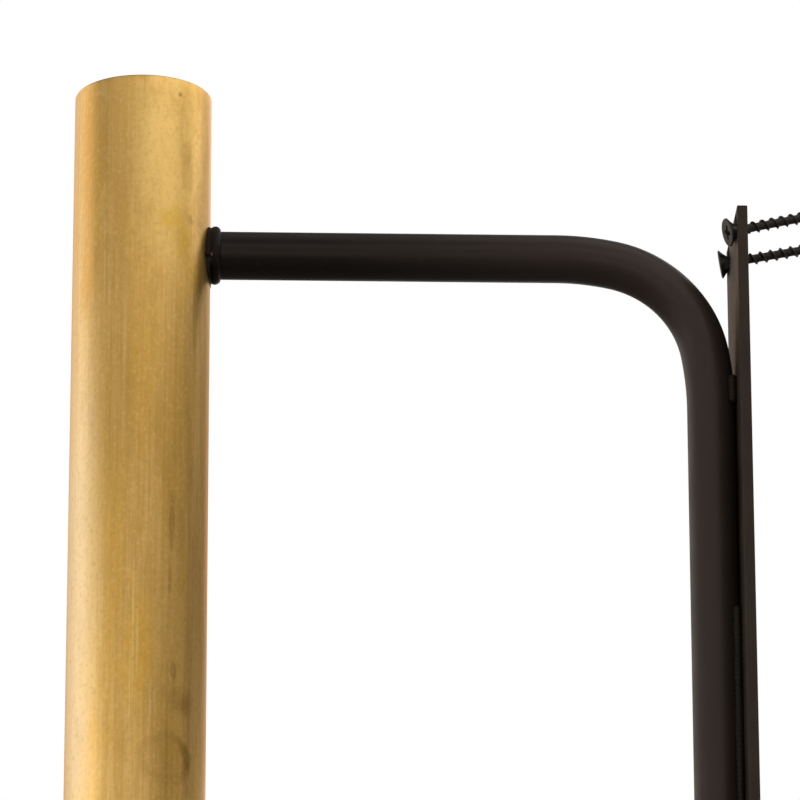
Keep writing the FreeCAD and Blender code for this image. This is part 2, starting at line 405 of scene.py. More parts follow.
# ---------------------------------------------------------------- collar

def collar_rings(outline_at, side):
    """Rings of points round the arm, for an outline that depends on the angle, roughened outside."""
    columns = []
    for segment in range(COLLAR_SEGMENTS):
        angle = 2 * math.pi * segment / COLLAR_SEGMENTS - math.pi
        around = Vector((0, math.sin(angle), math.cos(angle) * side))
        column = []
        for along, radius in outline_at(angle):
            point = Vector((GRIP_X + along, 0, side * ARM_Z)) + around * radius
            fullness = min(1, (radius - TUBE_RADIUS) / MM)
            uneven = noise.noise(point / COLLAR_UNEVEN_CELL)
            column.append(point + around * COLLAR_UNEVEN * uneven * fullness)
        columns.append(column)
    return [list(ring) for ring in zip(*columns)]


def ring_outline(_):
    """Quarter-round ferrule that falls from its crest to the arm."""
    start, end = ring_low.x - GRIP_X, ring_high.x - GRIP_X
    crest = start + CREST_STEP
    height = ring_high.z - ARM_Z - TUBE_RADIUS - COLLAR_UNEVEN
    outline = [(start, TUBE_RADIUS), (start, TUBE_RADIUS + height - CREST_EASE)]
    for step in range(FERRULE_STEPS + 1):
        angle = math.pi / 2 * step / FERRULE_STEPS
        outline.append((crest + (end - crest) * math.sin(angle), TUBE_RADIUS + height * math.cos(angle)))
    return outline


def lip_radius(angle):
    """Outline of the flange's lip: longer and squarer towards the handle's middle, with a small burr."""
    height, squareness = LIP_OUTSIDE if math.cos(angle) > 0 else LIP_INSIDE
    across = abs(math.sin(angle)) / LIP_HALF_WIDTH
    along = abs(math.cos(angle)) / height
    burr = BURR_SIZE * math.exp(-((angle - BURR_ANGLE) / BURR_SPREAD) ** 2)
    return (across**squareness + along**squareness) ** (-1 / squareness) + burr


def flange_outline(angle):
    """Lip along the grip's curve, a shallow groove, and a swell that meets the ferrule."""
    front = flange_high.x - GRIP_X
    outer = lip_radius(angle)
    dip = min(outer, flange_high.z - ARM_Z) - GROOVE_DEPTH
    crest = ring_high.z - ARM_Z - COLLAR_UNEVEN - CREST_EASE
    back = grip_surface_x(outer * math.sin(angle)) - GRIP_X
    inner_back = grip_surface_x(TUBE_RADIUS * math.sin(angle)) - GRIP_X
    groove = max(GROOVE_X, back + GROOVE_FROM_GRIP)
    outline = [(back + share * (groove - back), outer + rise) for share, rise in LIP_PROFILE]
    outline.append((groove, dip))
    outline += [(groove + share * (front - groove), dip + rise * (crest - dip)) for share, rise in SWELL]
    return outline + [(front, TUBE_RADIUS), (inner_back, TUBE_RADIUS)]


def make_collar(half, side, material):
    """Ferrule and flange, whose skins meet flush at the swell's crest."""
    for part, outline_at in (("ring", ring_outline), ("flange", flange_outline)):
        node = f"collar_{part}_{half}"
        piece = finished(node + "_skin", skin(collar_rings(outline_at, side), closed=True), sharp_angle=60)
        stand_in(piece, material, "black_collar", "handle", node)


def make_pin(half, side, material):
    """Domed pin head in the collar, with the shank behind it."""
    low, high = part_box(f"collar_pin_{half}")
    outward = Vector((0, -math.cos(PIN_DROOP), -math.sin(PIN_DROOP)))
    foot = Vector(((low.x + high.x) / 2 + PIN_SHIFT, 0, side * ARM_Z))
    shoulder = -low.y / math.cos(PIN_DROOP) - PIN_SUNK - PIN_DOME
    outline = [(shoulder - PIN_SHANK, 0), (shoulder - PIN_SHANK, PIN_RADIUS)]
    for step in range(DOME_STEPS + 1):
        angle = math.pi / 2 * step / DOME_STEPS
        outline.append((shoulder + PIN_DOME * math.sin(angle), PIN_RADIUS * math.cos(angle)))
    rings = turned(outline, foot, outward, X_AXIS, PIN_SEGMENTS)
    pin = finished(f"pin_{half}", skin(rings))
    return stand_in(pin, material, "bronze_pin", "handle", f"collar_pin_{half}")


# ---------------------------------------------------------------- welds

def make_weld(node, material):
    """Weld bead in the corner of tube and strip, laid in overlapping ripples."""
    low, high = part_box(node)
    across = 1 if low.y + high.y > 0 else -1
    count = math.ceil((high.z - low.z) / WELD_STEP)
    rings = []
    for row in range(count + 1):
        z = low.z + (high.z - low.z) * row / count
        from_end = min(z - low.z, high.z - z)
        fullness = math.sqrt(max(0.0, 1 - (1 - min(1, from_end / WELD_RADIUS)) ** 2))
        wander = WELD_WANDER * noise.noise(Vector((across, 0, z / WELD_WANDER_LENGTH)))
        ring = []
        for segment in range(WELD_SEGMENTS):
            angle = 2 * math.pi * segment / WELD_SEGMENTS
            from_crown = math.sin((angle - WELD_CROWN) / 2) ** 2
            phase = (z / RIPPLE_PITCH + RIPPLE_LAG * from_crown) % 1
            radius = WELD_RADIUS - RIPPLE_HEIGHT * phase**2 + wander
            ring.append(Vector((
                WELD_X + radius * fullness * math.cos(angle),
                across * (WELD_OFFSET_Y - radius * fullness * math.sin(angle)),
                z,
            )))
        rings.append(ring)
    weld = finished(node + "_bead", skin(rings), sharp_angle=60)
    return stand_in(weld, material, "black_weld", "handle", node)


# ---------------------------------------------------------------- screws

def head_outline():
    """(along, radius) from the middle of the dished face to the end of the neck."""
    outline = [(HEAD_DISH, 0), (HEAD_DISH, HEAD_FLAT)]
    outline += [(along, HEAD_RADIUS - inward) for along, inward in HEAD_EDGE]
    for step in range(BUGLE_STEPS + 1):
        share = step / BUGLE_STEPS
        flare = (HEAD_RADIUS - NECK_RADIUS) * (1 - share) ** 2
        outline.append((HEAD_RIM + BUGLE_LENGTH * share, NECK_RADIUS + flare))
    outline.append((NECK_END, NECK_RADIUS))
    return outline


def thread_profile():
    """(share of the pitch, share of the thread's height) across one turn of the thread."""
    half = THREAD_ROOT / 2 / THREAD_PITCH
    before = ((0.0, 0.0), (0.25, 0.0), (0.5 - half, 0.0), (0.5 - 0.5 * half, 0.42), (0.5 - 0.1 * half, 0.96))
    after = ((0.5 + 0.1 * half, 0.96), (0.5 + 0.5 * half, 0.42), (0.5 + half, 0.0), (0.75, 0.0))
    return before + ((0.5, 1.0),) + after


def shank_radius(along, height):
    """Radius of the threaded shank, which fades in behind the neck and runs out at the tip."""
    from_neck = min(1, (along - NECK_END) / THREAD_PITCH)
    to_tip = min(1, (SCREW_LENGTH - along) / TIP_LENGTH)
    core = NECK_RADIUS + (CORE_RADIUS - NECK_RADIUS) * from_neck
    thread = (THREAD_RADIUS - core) * height * from_neck**THREAD_RISE * to_tip**THREAD_RUN_OUT
    return core * to_tip**CORE_RUN_OUT + thread


def helix_rows(profile):
    """Rows of (along, radius) points, each of which follows the thread for one turn."""
    turns = math.ceil((SCREW_LENGTH - NECK_END) / THREAD_PITCH) + 1
    rows = []
    for row in range(len(profile) * (turns + 1)):
        turn, place = divmod(row, len(profile))
        share, height = profile[place]
        points = []
        for column in range(SCREW_SEGMENTS):
            along = NECK_END + THREAD_PITCH * (turn - 1 + share + column / SCREW_SEGMENTS)
            along = min(max(along, NECK_END), SCREW_LENGTH)
            points.append((along, shank_radius(along, height)))
        rows.append(points)
    return rows


def join_helix(bm, rows, rows_per_turn):
    """Quads between neighbouring rows, whose last column meets the first column one turn further on."""
    for i, (lower, upper) in enumerate(zip(rows, rows[1:])):
        for column in range(len(lower) - 1):
            bm.faces.new((lower[column], lower[column + 1], upper[column + 1], upper[column]))
        seam = i + rows_per_turn
        if seam + 1 < len(rows):
            bm.faces.new((lower[-1], rows[seam][0], rows[seam + 1][0], upper[-1]))


def screw_skin(tip, axis, side, start_turn):
    """Bugle head, neck and helical thread in one skin, with the rows of the shank along the helix."""
    origin = tip - axis * SCREW_LENGTH
    across = axis.cross(side)
    bm = bmesh.new()

    def row_of(points):
        row = []
        for column, (along, radius) in enumerate(points):
            angle = 2 * math.pi * (column / SCREW_SEGMENTS + start_turn)
            outward = side * math.cos(angle) + across * math.sin(angle)
            row.append(bm.verts.new(origin + axis * along + outward * radius))
        return row

    profile = thread_profile()
    join_rings(bm, [row_of([point] * SCREW_SEGMENTS) for point in head_outline()])
    join_helix(bm, [row_of(points) for points in helix_rows(profile)], len(profile))
    return bm


def recess_wedge(face, axis, long_way):
    """Tapered wedge that cuts one pair of the driver recess's arms."""
    short_way = axis.cross(long_way)
    bm = bmesh.new()
    corners = []
    for depth, span_share, width_share in RECESS_ENDS:
        span = RECESS_HALF_SPAN * span_share
        width = RECESS_HALF_WIDTH * width_share
        for u, v in ((-1, -1), (1, -1), (1, 1), (-1, 1)):
            corners.append(bm.verts.new(face + axis * depth + long_way * u * span + short_way * v * width))
    quads = ((0, 1, 2, 3), (4, 5, 6, 7), (0, 1, 5, 4), (1, 2, 6, 5), (2, 3, 7, 6), (3, 0, 4, 7))
    for quad in quads:
        bm.faces.new([corners[i] for i in quad])
    return finished("wedge", bm)


def make_screw(node, recess_turn, start_turn, material):
    """Loose screw on its own body, along the axis that its joint slides on."""
    joint = next(j for j in frame["joints"] if j["child"] == node + "_body")
    axis = Vector(joint["axis"]).normalized()
    vertices = [v.co.copy() for v in frame["nodes"][node].data.vertices]
    tip = max(vertices, key=lambda place: place.dot(axis))
    side = axis.cross(Y_AXIS).normalized()
    screw = finished(node + "_skin", screw_skin(tip, axis, side, start_turn), sharp_angle=50)
    turn = Matrix.Rotation(math.radians(recess_turn), 3, axis)
    for quarter in (0, 90):
        long_way = Matrix.Rotation(math.radians(quarter), 3, axis) @ turn @ side
        cut(screw, recess_wedge(tip - axis * SCREW_LENGTH, axis, long_way), sharp_angle=50)
    return stand_in(screw, material, "black_screw", node + "_body", node)


# ---------------------------------------------------------------- materials

class Recipe:
    """Node material that is built up in a few short calls."""

    def __init__(self, name):
        self.material = bpy.data.materials.new(name)
        self.material.use_nodes = True
        self.tree = self.material.node_tree
        self.shader = self.tree.nodes["Principled BSDF"]
        self.place = self.node("ShaderNodeTexCoord").outputs["Object"]

    def node(self, kind, **settings):
        """New node of a kind, with its own properties set."""
        node = self.tree.nodes.new(kind)
        for key, value in settings.items():
            setattr(node, key, value)
        return node

    def put(self, socket, value):
        """Links an output to a socket, or sets the socket's own value."""
        if isinstance(value, bpy.types.NodeSocket):
            self.tree.links.new(value, socket)
        else:
            socket.default_value = value

    def set(self, **values):
        """Sets the shader's sockets, named in small letters with underscores."""
        for key, value in values.items():
            name = next(n for n in self.shader.inputs.keys() if n.lower().replace(" ", "_") == key)
            self.put(self.shader.inputs[name], value)

    def stretched(self, x, y, z, shift=0.0):
        """Object coordinates scaled to a cell size per axis, in metres, and shifted by whole cells."""
        mapping = self.node("ShaderNodeMapping", vector_type="POINT")
        self.put(mapping.inputs["Vector"], self.place)
        mapping.inputs["Scale"].default_value = (1 / x, 1 / y, 1 / z)
        mapping.inputs["Location"].default_value = (shift, shift, shift)
        return mapping.outputs["Vector"]

    def noise(self, size, shift=0.0, detail=3.0, rough=0.5):
        """Noise from 0 to 1 with a cell size in metres, or a size per axis."""
        sizes = size if isinstance(size, tuple) else (size, size, size)
        texture = self.node("ShaderNodeTexNoise")
        self.put(texture.inputs["Vector"], self.stretched(*sizes, shift))
        texture.inputs["Scale"].default_value = 1.0
        texture.inputs["Detail"].default_value = detail
        texture.inputs["Roughness"].default_value = rough
        return texture.outputs["Fac"]

    def distance(self, point, scale):
        """Distance from a point, with each axis scaled first."""
        away = self.node("ShaderNodeVectorMath", operation="SUBTRACT")
        self.put(away.inputs[0], self.place)
        away.inputs[1].default_value = point
        scaled = self.node("ShaderNodeVectorMath", operation="MULTIPLY")
        self.put(scaled.inputs[0], away.outputs["Vector"])
        scaled.inputs[1].default_value = scale
        length = self.node("ShaderNodeVectorMath", operation="LENGTH")
        self.put(length.inputs[0], scaled.outputs["Vector"])
        return length.outputs["Value"]

    def math(self, operation, a, b=0.0):
        """Result of a calculation with one or two values."""
        node = self.node("ShaderNodeMath", operation=operation)
        self.put(node.inputs[0], a)
        self.put(node.inputs[1], b)
        return node.outputs[0]

    def span(self, value, low, high, to_low=0.0, to_high=1.0):
        """Value mapped smoothly from one range to another, and clamped."""
        node = self.node("ShaderNodeMapRange", interpolation_type="SMOOTHSTEP")
        self.put(node.inputs["Value"], value)
        node.inputs["From Min"].default_value = low
        node.inputs["From Max"].default_value = high
        node.inputs["To Min"].default_value = to_low
        node.inputs["To Max"].default_value = to_high
        return node.outputs["Result"]

    def blend(self, share, a, b):
        """Mix of two colours, each a socket or an (r, g, b)."""
        node = self.node("ShaderNodeMix", data_type="RGBA")
        self.put(node.inputs["Factor"], share)
        for socket, colour in ((node.inputs[6], a), (node.inputs[7], b)):
            self.put(socket, (*colour, 1.0) if isinstance(colour, tuple) else colour)
        return node.outputs[2]

    def tint(self, colour, other, value, low, high, strength=1.0):
        """The colour, with another one faded in up to a strength as the value goes from low to high."""
        return self.blend(self.span(value, low, high, 0.0, strength), colour, other)

    def bump(self, height, depth, normal=None):
        """Bump whose height socket runs from 0 to 1, with a depth in metres."""
        node = self.node("ShaderNodeBump")
        node.inputs["Strength"].default_value = 1.0
        node.inputs["Distance"].default_value = depth
        self.put(node.inputs["Height"], height)
        if normal is not None:
            self.put(node.inputs["Normal"], normal)
        return node.outputs["Normal"]


# Colours of the brass: its own, and those of its marks
BRASS_DEEP = (0.81, 0.455, 0.112)
BRASS_PALE = (0.95, 0.590, 0.182)
BRASS_ORANGE = (0.92, 0.500, 0.080)
BRASS_AMBER = (0.78, 0.405, 0.078)
BRASS_OLIVE = (0.70, 0.400, 0.092)
BRASS_BRIGHT = (0.99, 0.690, 0.250)
BRASS_GOLD = (0.99, 0.640, 0.195)
BRASS_STAIN = (0.46, 0.230, 0.042)
BRASS_YELLOW = (0.84, 0.480, 0.055)
# Pale colour of the painted highlight on the grip's left side
BRASS_PAINTED_HIGHLIGHT = (0.99, 0.750, 0.440)
BRUSHING_DEPTH = 0.015 * MM
GRAIN_DEPTH = 0.012 * MM

# Colours of the turned caps, the pins and the hidden steel
CAP_DEEP = (0.80, 0.46, 0.13)
CAP_PALE = (0.90, 0.55, 0.17)
CAP_STAIN = (0.52, 0.30, 0.09)
TURNING_PITCH = 0.25 * MM
TURNING_DEPTH = 0.012 * MM
PIN_DEEP = (0.17, 0.08, 0.07)
PIN_PALE = (0.26, 0.13, 0.11)
STEEL_DEEP = (0.42, 0.41, 0.40)
STEEL_PALE = (0.56, 0.55, 0.54)
STEEL_OIL = (0.20, 0.16, 0.12)

# Marks on the grip, each drawn over those before it: angle from the camera's side in degrees, height,
# width, length, strength and colour
GRIP_MARKS = (
    (24, 226 * MM, 32 * MM, 80 * MM, 0.80, BRASS_GOLD),
    (28, 86 * MM, 13 * MM, 70 * MM, 0.50, BRASS_PALE),
    # Painted shade: an olive patch on the grip's right side below the arm, where the light on that side
    # fades
    (30, 150 * MM, 16 * MM, 80 * MM, 0.75, BRASS_OLIVE),
    (-22, 146 * MM, 12 * MM, 70 * MM, 0.60, BRASS_OLIVE),
    # Painted shade and reflection of the collar on the brass beside it, as a yellow-brown patch
    (50, 192 * MM, 8 * MM, 14 * MM, 0.70, BRASS_YELLOW),
    (-18, 205 * MM, 8 * MM, 90 * MM, 0.45, BRASS_OLIVE),
    (-20, 228 * MM, 11 * MM, 70 * MM, 0.60, BRASS_OLIVE),
    (-46, 230 * MM, 10 * MM, 46 * MM, 0.90, BRASS_AMBER),
    (-48, 196 * MM, 9 * MM, 60 * MM, 0.90, BRASS_AMBER),
    (39, 228 * MM, 6 * MM, 9 * MM, 0.35, BRASS_STAIN),
    (42, 221 * MM, 5 * MM, 12 * MM, 0.30, BRASS_STAIN),
    (33, 245 * MM, 1.7 * MM, 1.7 * MM, 1.00, BRASS_STAIN),
    (27, 206 * MM, 10 * MM, 8 * MM, 0.80, BRASS_YELLOW),
    (38, 200 * MM, 9 * MM, 13 * MM, 0.80, BRASS_YELLOW),
    (45, 207 * MM, 5 * MM, 4 * MM, 0.55, BRASS_STAIN),
    (57, 207 * MM, 5 * MM, 4 * MM, 0.45, BRASS_STAIN),
    (29, 113 * MM, 1.6 * MM, 24 * MM, 0.50, BRASS_STAIN),
    (28, 96 * MM, 1.8 * MM, 16 * MM, 0.60, BRASS_STAIN),
    (4, 76 * MM, 11 * MM, 56 * MM, 0.95, BRASS_ORANGE),
    (32, 70 * MM, 3 * MM, 7 * MM, 0.60, BRASS_STAIN),
    (38, 62 * MM, 8 * MM, 9 * MM, 0.45, BRASS_STAIN),
    (44, 60 * MM, 5 * MM, 7 * MM, 0.50, BRASS_STAIN),
    (-34, 53 * MM, 6 * MM, 9 * MM, 0.45, BRASS_ORANGE),
    (-22, 50 * MM, 9 * MM, 12 * MM, 0.45, BRASS_ORANGE),
)
# Scratches: angle, height, width and length
GRIP_SCRATCHES = (
    (-2.5, 84 * MM, 0.8 * MM, 60 * MM),
    (-4.5, 64 * MM, 0.6 * MM, 34 * MM),
    (1.2, 77 * MM, 0.6 * MM, 28 * MM),
    (12, 60 * MM, 0.5 * MM, 20 * MM),
)
# Painted highlight: angle, height, width and length of the pale band on the grip's left side, which stands
# in for the light from the lower left
GRIP_PAINTED_HIGHLIGHT = (-58, 88 * MM, 24 * MM, 270 * MM)
# Ring stain: angle, height, width of the circle, and thickness as a share of half of it
GRIP_RING_MARK = (26, 44 * MM, 14 * MM, 0.30)
# Where marks begin and where they are full, as shares of the way from their middle to their edge
MARK_FADE = (1.15, 0.35)
SCRATCH_FADE = (1.0, 0.4)
HIGHLIGHT_FADE = (1.1, 0.2)
FULLER_FADE = (1.0, 0.2)
RING_FILL_FADE = (1.0, 0.8)
# Strengths, and how far the patches push a mark's edge in or out
SCRATCH_STRENGTH = 0.7
HIGHLIGHT_STRENGTH = 0.55
RING_FILL = 0.15
MARK_RAGGED = 0.45
RING_RAGGED = 0.3
# The ring's fuller side: turn and rise from its middle, width and length as shares of the ring's width,
# and the line's strength away from it and on it
RING_FULLER = (24, 1.5 * MM, 1.6, 1.2)
RING_STRENGTHS = (0.25, 0.9)


def from_mark(r, angle, height, width, length):
    """Distance from the middle of a mark on the grip, as a share of the way to the mark's edge."""
    turn = math.radians(angle)
    middle = (GRIP_X + GRIP_RADIUS * math.sin(turn), -GRIP_RADIUS * math.cos(turn), height)
    return r.distance(middle, (2 / width, 2 / width, 2 / length))


def ring_marked(r, colour, ragged):
    """The colour with the ring stain on it, whose line is fuller on one side."""
    angle, height, width, thickness = GRIP_RING_MARK
    turn, rise, wide, tall = RING_FULLER
    off = r.math("ADD", from_mark(r, angle, height, width, width), r.math("MULTIPLY", ragged, RING_RAGGED))
    line = r.span(r.math("ABSOLUTE", r.math("SUBTRACT", off, 1.0)), thickness, 0.0)
    from_fuller = from_mark(r, angle + turn, height + rise, wide * width, tall * width)
    fuller = r.span(from_fuller, *FULLER_FADE, *RING_STRENGTHS)
    colour = r.blend(r.math("MULTIPLY", line, fuller), colour, BRASS_STAIN)
    return r.tint(colour, BRASS_STAIN, off, *RING_FILL_FADE, RING_FILL)


def marked(r, colour, ragged, mottle):
    """The colour with a painted highlight on the grip's left side, and stains, patches and scratches on it.
    """
    # Painted highlight: a pale band down the grip's left side, for the light from the lower left
    colour = r.tint(colour, BRASS_PAINTED_HIGHLIGHT, from_mark(r, *GRIP_PAINTED_HIGHLIGHT), *HIGHLIGHT_FADE, HIGHLIGHT_STRENGTH)
    for *place_and_size, strength, mark_colour in GRIP_MARKS:
        off = r.math("ADD", from_mark(r, *place_and_size), ragged)
        share = r.math("MULTIPLY", r.span(off, *MARK_FADE, 0.0, strength), mottle)
        colour = r.blend(share, colour, mark_colour)
    for scratch in GRIP_SCRATCHES:
        colour = r.tint(colour, BRASS_BRIGHT, from_mark(r, *scratch), *SCRATCH_FADE, SCRATCH_STRENGTH)
    return ring_marked(r, colour, ragged)


def brass_material():
    """Aged, unlacquered brass, lightly brushed along its length, with patches, stains and streaks."""
    r = Recipe("aged_brass")
    streaks = r.noise((0.8 * MM, 0.8 * MM, 45 * MM), detail=4.0, rough=0.6)
    lines = r.noise((0.4 * MM, 0.4 * MM, 14 * MM), shift=3.1, detail=3.0)
    broad = r.noise((8 * MM, 8 * MM, 90 * MM), shift=1.7, detail=3.0)
    patches = r.noise((7 * MM, 7 * MM, 18 * MM), shift=5.3, detail=5.0, rough=0.65)
    grain = r.noise((1.2 * MM, 1.2 * MM, 1.6 * MM), shift=8.9, detail=4.0, rough=0.75)
    pits = r.noise(1.3 * MM, shift=6.1, detail=3.0, rough=0.7)
    colour = r.tint(BRASS_DEEP, BRASS_PALE, streaks, 0.30, 0.70)
    colour = r.tint(colour, BRASS_ORANGE, broad, 0.40, 0.65, 0.6)
    colour = r.tint(colour, BRASS_OLIVE, patches, 0.48, 0.70, 0.5)
    colour = r.tint(colour, BRASS_OLIVE, lines, 0.52, 0.75, 0.5)
    ragged = r.span(patches, 0.25, 0.75, -MARK_RAGGED, MARK_RAGGED)
    colour = marked(r, colour, ragged, mottle=r.span(streaks, 0.3, 0.6, 1.0, 0.7))
    colour = r.tint(colour, BRASS_OLIVE, grain, 0.48, 0.75, 0.65)
    colour = r.tint(colour, BRASS_BRIGHT, grain, 0.48, 0.30, 0.45)
    colour = r.tint(colour, BRASS_STAIN, pits, 0.64, 0.74, 0.25)
    rough = r.math("ADD", r.span(streaks, 0.2, 0.8, 0.32, 0.38), r.span(patches, 0.4, 0.8, 0.0, 0.06))
    height = r.math("ADD", r.math("MULTIPLY", streaks, 0.6), r.math("MULTIPLY", lines, 0.4))
    brushed = r.bump(height, BRUSHING_DEPTH)
    tangent = r.node("ShaderNodeTangent", direction_type="RADIAL", axis="Z")
    r.set(base_color=colour, metallic=1.0, roughness=rough, anisotropic=0.35)
    r.set(coat_weight=0.3, coat_roughness=0.2)
    r.set(normal=r.bump(grain, GRAIN_DEPTH, brushed), tangent=tangent.outputs["Tangent"])
    return r.material


def cap_material():
    """The same brass, with turning marks round the grip's axis."""
    r = Recipe("turned_brass")
    rings = r.node("ShaderNodeTexNoise", noise_dimensions="1D")
    r.put(rings.inputs["W"], r.distance((GRIP_X, 0, 0), (1, 1, 0)))
    rings.inputs["Scale"].default_value = 1 / TURNING_PITCH
    rings.inputs["Detail"].default_value = 3.0
    marks = rings.outputs["Fac"]
    patches = r.noise(7 * MM, shift=4.4, detail=4.0)
    colour = r.tint(CAP_DEEP, CAP_PALE, marks, 0.35, 0.65)
    colour = r.tint(colour, CAP_STAIN, patches, 0.5, 0.75, 0.6)
    tangent = r.node("ShaderNodeTangent", direction_type="RADIAL", axis="Z")
    r.set(base_color=colour, metallic=1.0, anisotropic=0.5, coat_weight=0.15, coat_roughness=0.3)
    r.set(roughness=r.span(patches, 0.3, 0.8, 0.28, 0.42), normal=r.bump(marks, TURNING_DEPTH))
    r.set(tangent=tangent.outputs["Tangent"])
    return r.material


# Paints: dark and worn colour, roughness, size and depth of the texture, strength of wear, and gloss
PAINTS = {
    "black_tube": ((0.014, 0.0100, 0.0078), (0.040, 0.029, 0.022), 0.40, 0.9 * MM, 0.02 * MM, 0.3, 0.36),
    "black_strip": ((0.033, 0.0230, 0.0155), (0.075, 0.050, 0.033), 0.54, 1.1 * MM, 0.02 * MM, 0.5, 0.30),
    "black_collar": ((0.005, 0.0038, 0.0034), (0.040, 0.016, 0.014), 0.50, 0.8 * MM, 0.04 * MM, 0.8, 0.25),
    "black_weld": ((0.010, 0.0074, 0.0060), (0.030, 0.022, 0.018), 0.50, 0.6 * MM, 0.04 * MM, 0.4, 0.30),
    "black_screw": ((0.013, 0.0100, 0.0085), (0.060, 0.043, 0.034), 0.45, 0.4 * MM, 0.02 * MM, 0.5, 0.50),
}
# Brightness of the paint's paler clouds
CLOUD_SHARE = 1.35
# Painted shade and light on the tube: brightness of its dark colour at the end near the grip, which is
# painted shade, and at the upright, which is painted light, and how far that change shows
SHADE_END_SHARE = 0.15
LIGHT_END_SHARE = 3.30
PAINTED_LIGHT_SHARE = 0.8
# Warm tint of the paint's glints
PAINT_GLINT = (1.0, 0.80, 0.68, 1.0)


def shaded(colour, share):
    """The colour, brighter or darker by a share."""
    return tuple(share * c for c in colour)


def paint_material(name, shade_x=None, light_x=None):
    """Satin brown-black paint on steel: a soft orange-peel texture, dust, and worn tints.

    Between the two X places, if given, its dark colour goes from deeper to paler: painted shade at the first
    and painted light at the second, for light that grows along the tube.
    """
    dark, worn, roughness, texture_size, texture_depth, wear, gloss = PAINTS[name]
    r = Recipe(name)
    peel = r.noise(texture_size, detail=2.0)
    cloud = r.noise(14 * MM, shift=2.3, detail=4.0)
    dust = r.noise(0.6 * MM, shift=7.7, detail=2.0)
    scuffs = r.noise((3 * MM, 3 * MM, 12 * MM), shift=4.1, detail=5.0, rough=0.65)
    colour = r.tint(dark, shaded(dark, CLOUD_SHARE), cloud, 0.3, 0.7)
    # Painted shade and light: the dark colour deepens towards the first X place and pales towards the second
    if shade_x is not None:
        separate = r.node("ShaderNodeSeparateXYZ")
        r.put(separate.inputs["Vector"], r.place)
        along_x = separate.outputs["X"]
        painted_light = r.tint(shaded(dark, SHADE_END_SHARE), shaded(dark, LIGHT_END_SHARE), along_x, shade_x, light_x)
        colour = r.blend(PAINTED_LIGHT_SHARE, colour, painted_light)
    colour = r.tint(colour, worn, dust, 0.66, 0.8, 0.25)
    colour = r.tint(colour, worn, scuffs, 0.58, 0.8, wear)
    rough = r.math("ADD", r.span(cloud, 0.3, 0.7, roughness - 0.04, roughness + 0.05),
                   r.span(scuffs, 0.5, 0.8, 0.0, 0.08))
    r.set(base_color=colour, roughness=rough, normal=r.bump(peel, texture_depth))
    r.set(specular_ior_level=gloss, specular_tint=PAINT_GLINT)
    return r.material


def pin_material():
    """Dull reddish bronze with small stains."""
    r = Recipe("bronze_pin")
    stain = r.noise(0.5 * MM, detail=4.0)
    colour = r.tint(PIN_DEEP, PIN_PALE, stain, 0.35, 0.65)
    r.set(base_color=colour, metallic=0.7, roughness=r.span(stain, 0.3, 0.7, 0.4, 0.6))
    r.set(normal=r.bump(stain, 0.02 * MM))
    return r.material


def steel_material():
    """Turned bare steel, for the pieces that are hidden inside the joints."""
    r = Recipe("plain_steel")
    marks = r.noise((0.3 * MM, 6 * MM, 6 * MM), detail=3.0)
    oil = r.noise(4 * MM, shift=1.9, detail=4.0)
    colour = r.tint(STEEL_DEEP, STEEL_PALE, marks, 0.35, 0.65)
    colour = r.tint(colour, STEEL_OIL, oil, 0.5, 0.8, 0.6)
    r.set(base_color=colour, metallic=1.0, roughness=r.span(oil, 0.3, 0.7, 0.28, 0.45))
    r.set(normal=r.bump(marks, 0.015 * MM))
    return r.material


# ---------------------------------------------------------------- stage, lights and camera

FLOOR_Z = -0.95
FLOOR_SIZE = 12.0
FLOOR_COLOUR = (0.80, 0.79, 0.77, 1.0)
FLOOR_GLOW = 0.55


def make_floor():
    """Plain pale floor with a faint glow, which neither lights the object nor shows in it."""
    half = FLOOR_SIZE / 2
    mesh = bpy.data.meshes.new("floor")
    corners = [(x * half, y * half, FLOOR_Z) for x, y in ((-1, -1), (1, -1), (1, 1), (-1, 1))]
    mesh.from_pydata(corners, [], [(0, 1, 2, 3)])
    floor = bpy.data.objects.new("floor", mesh)
    bpy.context.scene.collection.objects.link(floor)
    r = Recipe("floor")
    r.set(base_color=FLOOR_COLOUR, roughness=0.9)
    r.set(emission_color=FLOOR_COLOUR, emission_strength=FLOOR_GLOW)
    mesh.materials.append(r.material)
    floor.visible_glossy = False
    floor.visible_diffuse = False


def make_world(camera_level, light_level):
    """White backdrop for the camera, and a dim even light for everything else."""
    world = bpy.data.worlds.new("studio")
    world.use_nodes = True
    nodes, links = world.node_tree.nodes, world.node_tree.links
    background = nodes["Background"]
    path = nodes.new("ShaderNodeLightPath")
    level = nodes.new("ShaderNodeMapRange")
    links.new(path.outputs["Is Camera Ray"], level.inputs["Value"])
    level.inputs["To Min"].default_value = light_level
    level.inputs["To Max"].default_value = camera_level
    background.inputs["Color"].default_value = (1.0, 1.0, 1.0, 1.0)
    links.new(level.outputs["Result"], background.inputs["Strength"])
    bpy.context.scene.world = world


